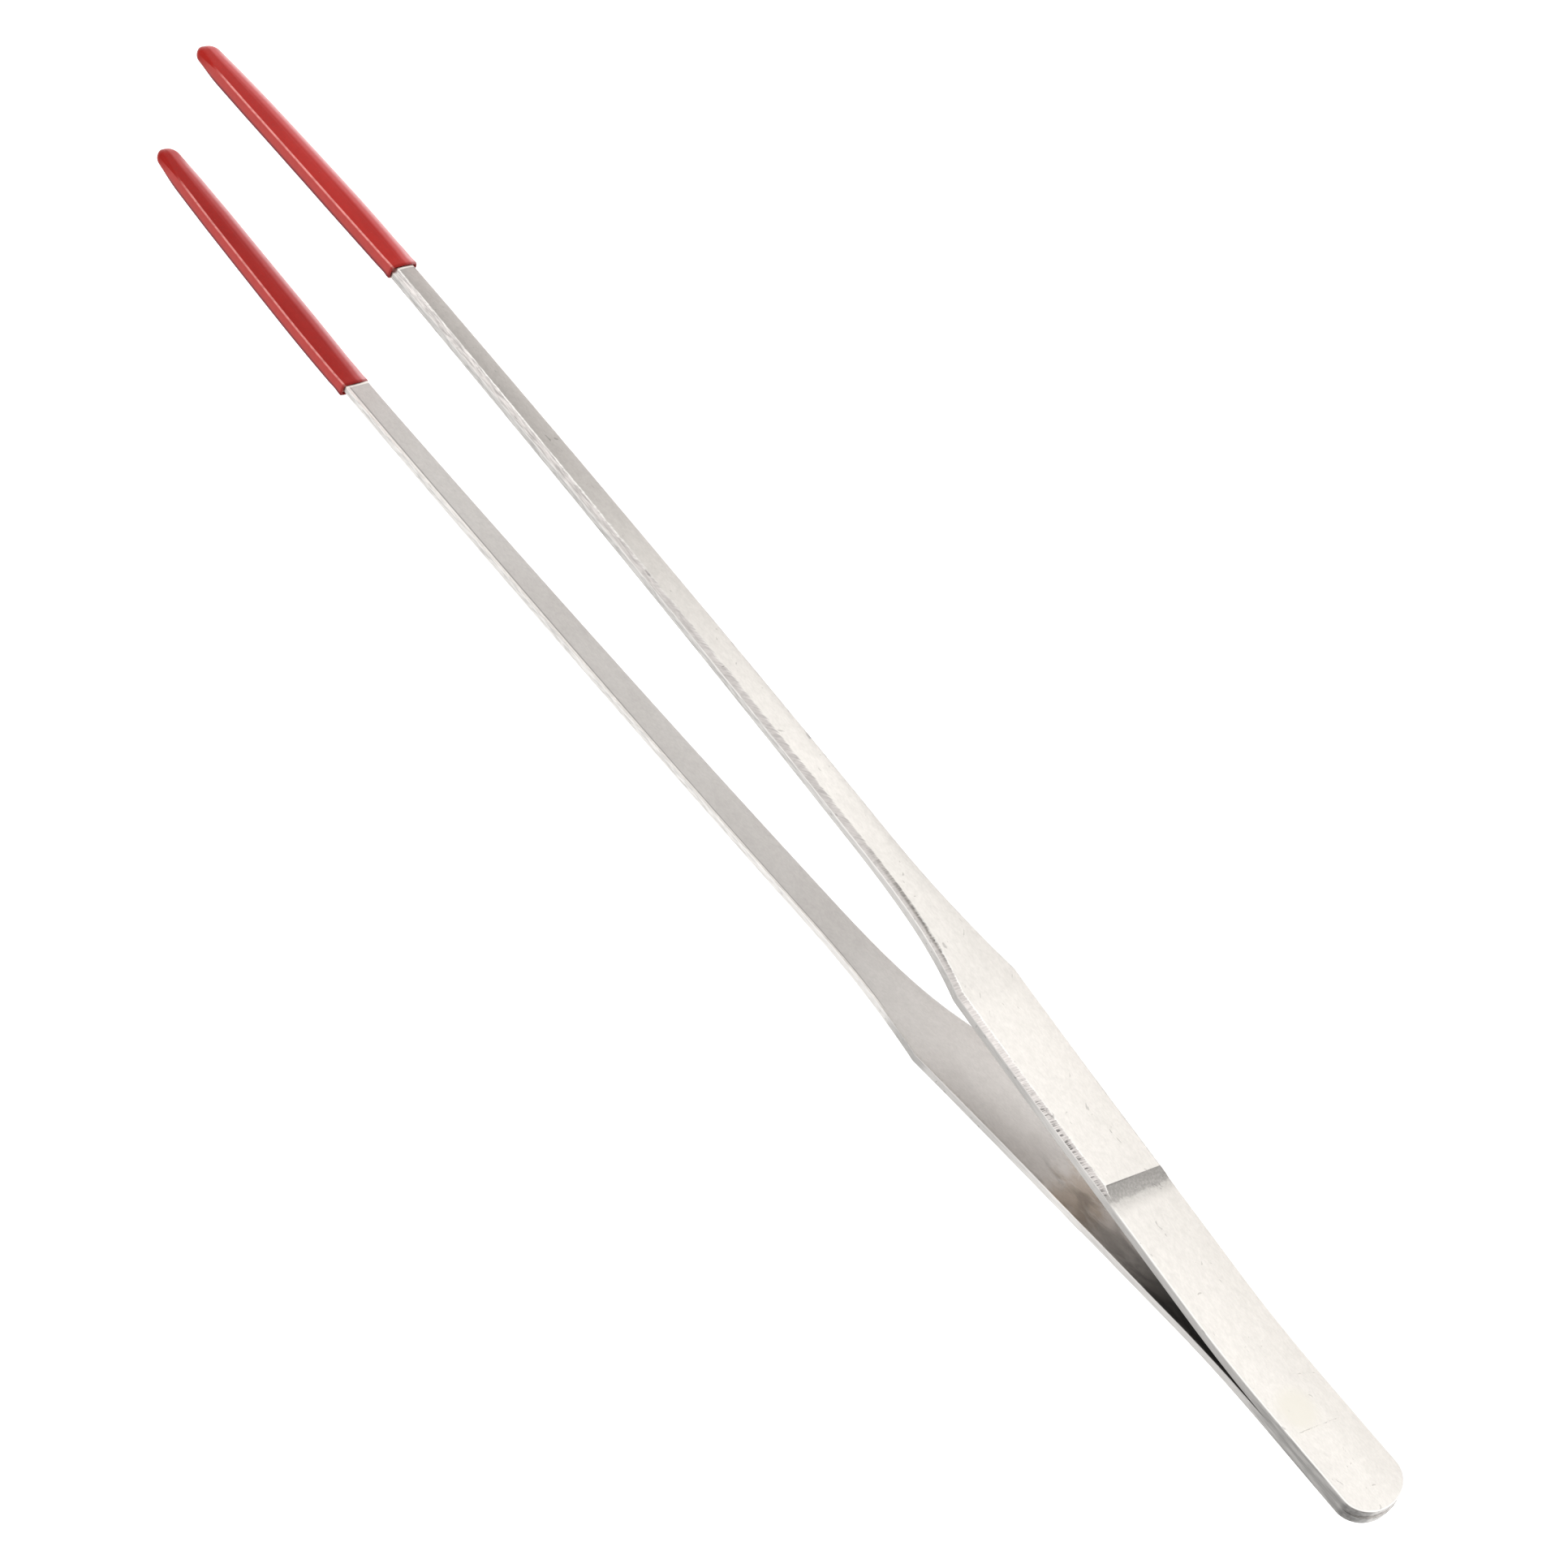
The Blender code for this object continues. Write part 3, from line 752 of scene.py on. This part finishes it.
def with_sides(g, colour):
    """The flat narrow sides with painted shade and light along them, and painted highlights at
    their edge and at the sleeve's lip.
    """
    # Painted shade and light: the sides' tone rises and falls along the strip, is shaded at the
    # shoulders and round the heel end, and is lighter on the left arm.
    tone = g.add(g.run(g.station, 4, 56, 0.385, 0.46), g.run(g.station, 52, 62, 0, 0.10))
    fibre_tone = g.ramp(g.fibre, 0.34, 0.62, g.run(g.station, 110, 150, 0.92, 0.80),
                        g.run(g.station, 110, 150, 1.05, 1.14))
    heel_stain = g.times(g.run(g.station, 32, 16),
                         g.ramp(g.pattern(110, 1500, 3, 0.6, 0.5), 0.62, 0.38))
    shoulder_shade = g.times(g.band(g.station, 66, 80, 92, 104), g.ramp(g.arm, 0.5, -0.5, 0.3, 1.0))
    left_leaf_light = g.times(g.on_left, 0.34, g.band(g.station, 12, 26, 58, 76))
    left_shoulder_shade = g.times(g.band(g.station, SHOULDER - 3.5, SHOULDER - 1, SHOULDER + 6, SHOULDER + 9),
                      g.on_left)
    end_shade = g.add(g.run(g.across, 2.6, 4.6), g.run(g.across, -2.8, -5.0))
    heel_end_shading = g.times(g.run(g.station, 4.6, 3.6), g.within(end_shade, -0.36, 0.12))
    tone = g.times(tone, fibre_tone, g.within(heel_stain, 0.80, 1.06), g.within(shoulder_shade, 0.84),
                   g.run(g.station, 96, 108, 1.0, 1.08), g.run(g.station, 112, 215, 1.0, 0.90),
                   g.within(g.times(g.past_neck, g.on_left), 1.27), g.add(1.0, left_leaf_light),
                   g.within(left_shoulder_shade, 0.80), g.add(1.0, heel_end_shading))
    colour = g.mix(g.on_side, colour, g.shade(SIDE_STEEL, tone))
    # Painted highlights along the lower outer edge and on the steel at the lip.
    low_arris = g.times(g.band(g.inset, 0, 0.03, 0.06, 0.16), g.outer_side, g.past_neck,
                        g.run(g.station, 112, 135, 0.6, 0.2))
    colour = g.mix(g.times(low_arris, 0.6), colour, EDGE_GLINT)
    at_lip = g.run(g.station, LIP - 0.55, LIP - 0.35)
    return g.mix(g.times(at_lip, 0.8), colour, LIP_GLINT)


def with_wear(g, colour):
    """A few scuffs and pits, and scratches on the right arm."""
    g.pit = g.times(g.ramp(g.pattern(420, 620, 2, 0.5, 1.6), 0.70, 0.735), g.outer_side)
    g.scratches = 0.0
    for start, end in SCRATCHES:
        g.scratches = g.larger(g.scratches, g.scratch(start, end, g.blotch))
    g.scratches = g.times(g.scratches, g.outer_side, g.ramp(g.arm, 0.5, -0.5))
    return g.shade(colour, g.inverse(g.times(g.larger(g.pit, g.scratches), WEAR_DARKENING)))


def steel_material():
    """Satin stainless steel: fine grain, cross-ground bevels, a rougher inner face and scoop that
    painted shade also darkens, as on the slender part, straw heat tint over the weld, fine wear
    and painted highlights along the edges."""
    g = StripGraph("satin_stainless")
    steel_zones(g)
    colour = g.shade(g.mix(g.outer_side, inner_face(g), outer_face(g)),
                     g.ramp(g.grain, 0.25, 0.75, 0.955, 1.04),
                     g.ramp(g.blotch, 0.28, 0.72, 0.965, 1.03),
                     g.ramp(g.mottle, 0.30, 0.46, 0.955, 1.0))
    for layer in (with_weld_tint, with_scoop, with_bevels, with_sides, with_wear):
        colour = layer(g, colour)
    g.feed(g.shader.inputs["Base Color"], colour)
    g.shader.inputs["Metallic"].default_value = 1.0
    dull = g.times(g.add(g.scoop, g.times(g.run_out, 0.5)), 0.12)
    rough = g.add(g.ramp(g.mottle, 0.25, 0.75, 0.31, 0.41), dull,
                  g.times(g.inverse(g.outer_side), 0.05))
    g.feed(g.shader.inputs["Roughness"], rough)

    normal = g.bump(g.grain, 0.008, 0.6)
    normal = g.bump(g.times(g.ticks, g.bevel_zone), 0.02, 0.6, normal)
    normal = g.bump(g.times(g.fibre, g.on_side), 0.02, 0.6, normal)
    normal = g.bump(g.times(g.speck, g.add(g.run_out, g.scoop)), 0.02, 0.6, normal)
    normal = g.bump(g.inverse(g.add(g.pit, g.scratches)), 0.03, 0.6, normal)
    g.feed(g.shader.inputs["Normal"], g.bump(g.mottle, 0.02, 0.5, normal))
    return g.material


def vinyl_material():
    """Glossy dipped vinyl: deep red, with painted sheen on the upper sides, painted reflection low
    on the faces, painted highlights along the upper edges and painted shade.
    """
    g = StripGraph("dipped_red_vinyl")
    wave = g.pattern(70, 260, 2)
    peel = g.pattern(1300, 1300, 2)
    dust = g.pattern(3500, 3500, 1)
    is_left = g.ramp(g.arm, -0.5, 0.5)
    upper_half = g.run(g.across, -0.2, 0.4)
    lower_half = g.inverse(upper_half)

    colour = g.mix(g.ramp(wave, 0.3, 0.7), VINYL_DARK, VINYL_LIGHT)
    # Painted reflection: the lower part of each face, which turns away, is painted lighter red and
    # then pale near its edge.
    lower_reflection = g.times(lower_half, g.run(g.inset, 2.9, 2.0))
    colour = g.mix(lower_reflection, colour, VINYL_LOWER_REFLECTION)
    # Painted shade: the inner faces are a little darker.
    colour = g.shade(colour, g.within(g.run(g.depth, 1.3, 0.4), 0.88))
    pale = g.times(lower_half, g.run(g.inset, 1.85, 0.85, 0, 0.72), g.run(g.inset, 0.05, 0.35),
                   g.run(g.station, 298.5, 294))
    colour = g.mix(pale, colour, VINYL_PALE_REFLECTION)

    # Upper narrow side, painted lighter as painted sheen and darker away from the light as painted
    # shade, and painted highlights along its edges.
    past_skin = g.math("SUBTRACT", ARM_THICKNESS + SLEEVE_SKIN, g.depth)
    hidden_depth = g.blend_numbers(is_left, past_skin, g.add(g.depth, SLEEVE_SKIN))
    side_colour = g.mix(g.run(hidden_depth, 1.5, 2.1), VINYL_SIDE_SHEEN, VINYL_FAR_SIDE_SHADE)
    end_station = g.blend_numbers(is_left, g.add(g.station, 1.2 * MM), g.station)
    on_side = g.times(g.run(g.inset, *ON_SIDE), upper_half, g.run(end_station, 299.5, 294))
    colour = g.mix(on_side, colour, side_colour)
    arris = g.times(g.band(g.inset, 0.03, 0.09, 0.30, 0.42), upper_half,
                    g.run(g.station, 294, 288), g.ramp(peel, 0.3, 0.6, 0.7, 1.0))
    colour = g.mix(arris, colour, VINYL_EDGE_HIGHLIGHT)

    colour = g.shade(colour, g.ramp(peel, 0.3, 0.7, 0.96, 1.03))
    # Painted shade: a dark line in the crease at the lip.
    colour = g.mix(g.times(g.run(g.station, LIP + 0.6, LIP + 0.15), 0.6), colour, VINYL_LIP_SHADE)
    colour = g.mix(g.ramp(dust, 0.76, 0.80, 0, 0.25), colour, VINYL_DUST)
    g.feed(g.shader.inputs["Base Color"], colour)
    g.feed(g.shader.inputs["Roughness"], g.ramp(wave, 0.25, 0.75, 0.13, 0.21))
    g.shader.inputs["Specular IOR Level"].default_value = 0.11
    g.shader.inputs["Sheen Weight"].default_value = 0.6
    g.shader.inputs["Sheen Roughness"].default_value = 0.2
    g.feed(g.shader.inputs["Normal"], g.bump(peel, 0.004, 0.5, g.bump(wave, 0.10, 0.5)))
    return g.material


# Stage, light and camera, in metres, watts and mm of focal length.
FLOOR_GREY, FLOOR_LIGHT = (0.78, 0.78, 0.78, 1), (0.80, 0.80, 0.795, 1)
FLOOR_SIZE, FLOOR_DROP, FLOOR_GLOW = 4, 0.05 * MM, 0.62
TENT_COLOUR = (1.0, 0.995, 0.985, 1)
TENT_FRONT = (-0.1, -0.7, 0.7)              # direction of the tent's brightest part
TENT_SPREAD, TENT_STRENGTH = (0.1, 0.95), (1.02, 1.54)
LIGHT_AT, LIGHT_TARGET = (0.385, -0.277, 0.258), (0.12, 0, 0)
LIGHT_SIZE, LIGHT_WATTS = 0.12, 0.09
CAMERA_RIGHT, CAMERA_DOWN = (-0.61390, -0.38688, -0.68808), (-0.71671, 0.63849, 0.28046)
CAMERA_EYE = (-22.08, -321.64, 320.63)      # mm from the middle of the heel end
CAMERA_LENS, CAMERA_SENSOR, CAMERA_NEAR = 73.12, 36, 0.01


def floor_material():
    """Matt white light table with a faint glow of its own."""
    g = Graph("pale_floor")
    vector = g.node("ShaderNodeTexCoord").outputs["Object"]
    tone = g.noise(g.scaled(vector, 3, 3, 3), 2)
    g.feed(g.shader.inputs["Base Color"], g.mix(tone, FLOOR_GREY, FLOOR_LIGHT))
    g.shader.inputs["Roughness"].default_value = 0.9
    g.shader.inputs["Specular IOR Level"].default_value = 0.2
    g.shader.inputs["Emission Color"].default_value = (1, 1, 1, 1)
    g.shader.inputs["Emission Strength"].default_value = FLOOR_GLOW
    return g.material


def floor():
    """Flat floor just under the tweezers, which is part of the stage."""
    mesh = bpy.data.meshes.new("floor")
    bm = bmesh.new()
    bmesh.ops.create_grid(bm, x_segments=1, y_segments=1, size=FLOOR_SIZE)
    bm.to_mesh(mesh)
    bm.free()
    mesh.materials.append(floor_material())
    obj = bpy.data.objects.new("floor", mesh)
    obj.location.z = -FLOOR_DROP
    bpy.context.scene.collection.objects.link(obj)


def studio():
    """A light tent over a white light table: soft light from all round, most from the front."""
    scene = bpy.context.scene
    scene.view_settings.view_transform = "Standard"
    world = bpy.data.worlds.new("tent")
    world.use_nodes = True
    tree = world.node_tree
    background = tree.nodes["Background"]
    direction = tree.nodes.new("ShaderNodeTexCoord").outputs["Generated"]
    towards = tree.nodes.new("ShaderNodeVectorMath")
    towards.operation = "DOT_PRODUCT"
    towards.inputs[1].default_value = Vector(TENT_FRONT).normalized()
    tree.links.new(direction, towards.inputs[0])
    front = tree.nodes.new("ShaderNodeMapRange")
    front.interpolation_type = "SMOOTHSTEP"
    for keys, numbers in ((("From Min", "From Max"), TENT_SPREAD),
                          (("To Min", "To Max"), TENT_STRENGTH)):
        for key, number in zip(keys, numbers):
            front.inputs[key].default_value = number
    tree.links.new(towards.outputs["Value"], front.inputs["Value"])
    tree.links.new(front.outputs["Result"], background.inputs["Strength"])
    background.inputs["Color"].default_value = TENT_COLOUR
    scene.world = world
    floor()
    soft_light()


def soft_light():
    """Small square light beyond the tips, facing the slender part."""
    light = bpy.data.lights.new("beyond_tips", "AREA")
    light.size = LIGHT_SIZE
    light.energy = LIGHT_WATTS
    obj = bpy.data.objects.new("beyond_tips", light)
    obj.location = LIGHT_AT
    facing = Vector(LIGHT_TARGET) - Vector(LIGHT_AT)
    obj.rotation_euler = facing.to_track_quat("-Z", "Y").to_euler()
    bpy.context.scene.collection.objects.link(obj)


def camera():
    """Looks down on the grips from the heel's side, rolled so that the tips point up left."""
    right, down = Vector(CAMERA_RIGHT).normalized(), Vector(CAMERA_DOWN).normalized()
    ahead = right.cross(down)
    eye = Vector(CAMERA_EYE) * MM + Vector((HEEL_X, 0, MID_Z))
    data = bpy.data.cameras.new("camera")
    data.sensor_width = CAMERA_SENSOR
    data.lens = CAMERA_LENS
    data.clip_start = CAMERA_NEAR
    obj = bpy.data.objects.new("camera", data)
    turn = Matrix((right, -down, -ahead)).transposed()
    obj.matrix_world = Matrix.Translation(eye) @ turn.to_4x4()
    bpy.context.scene.collection.objects.link(obj)
    bpy.context.scene.camera = obj


def build():
    """Both arms with their sleeves, the weld's material, and the stage."""
    steel, vinyl = steel_material(), vinyl_material()
    for word, side in (("right", RIGHT), ("left", LEFT)):
        arm = arm_steel("steel_arm_" + word, side)
        arm.data.materials.append(steel)
        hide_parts("heel_leaf_" + word, "arm_" + word)
        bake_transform(arm)
        sleeve = tip_sleeve("sleeve_" + word, side)
        sleeve.data.materials.append(vinyl)
        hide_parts("tip_sleeve_" + word)
        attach(sleeve, word + "_jaw")
    weld = bpy.data.objects["spot_weld"]
    weld.data.materials.clear()
    weld.data.materials.append(steel)
    studio()
    camera()


build()
